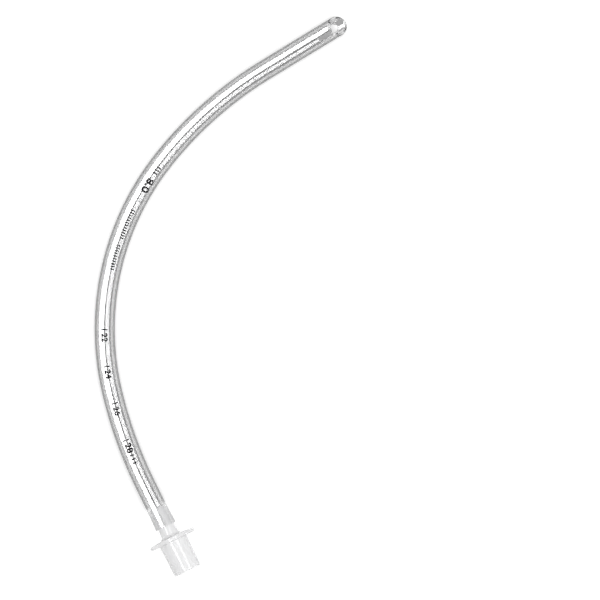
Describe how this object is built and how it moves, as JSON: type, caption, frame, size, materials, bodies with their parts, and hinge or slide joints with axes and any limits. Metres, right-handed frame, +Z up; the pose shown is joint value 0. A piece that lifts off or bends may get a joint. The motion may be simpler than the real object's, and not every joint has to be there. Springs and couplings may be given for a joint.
{
  "type": "endotracheal tube",
  "caption": "Clear curved breathing tube with a bevelled tip, an oval side eye and a winged tapered connector.",
  "frame": {"origin": "under the middle of the part's box, on the surface that it lies on", "axes": "+Z up from that surface, the side that the tip's bevel faces; -Y out of the connector's mouth, as seen from above, while its axis climbs by 1.6 degrees towards the mouth; the tip points to +X"},
  "size_m": [0.2172, 0.2298, 0.0165],
  "materials": {
    "clear_tube": "clear, glossy, flexible PVC",
    "radiopaque_line": "opaque grey, filled PVC inside the clear wall",
    "connector": "milky, translucent, glossy moulded plastic",
    "print": "black ink"
  },
  "bodies": {
    "root": {"tube": "clear_tube", "radiopaque_line": "radiopaque_line", "connector": "connector"}
  },
  "joints": []
}
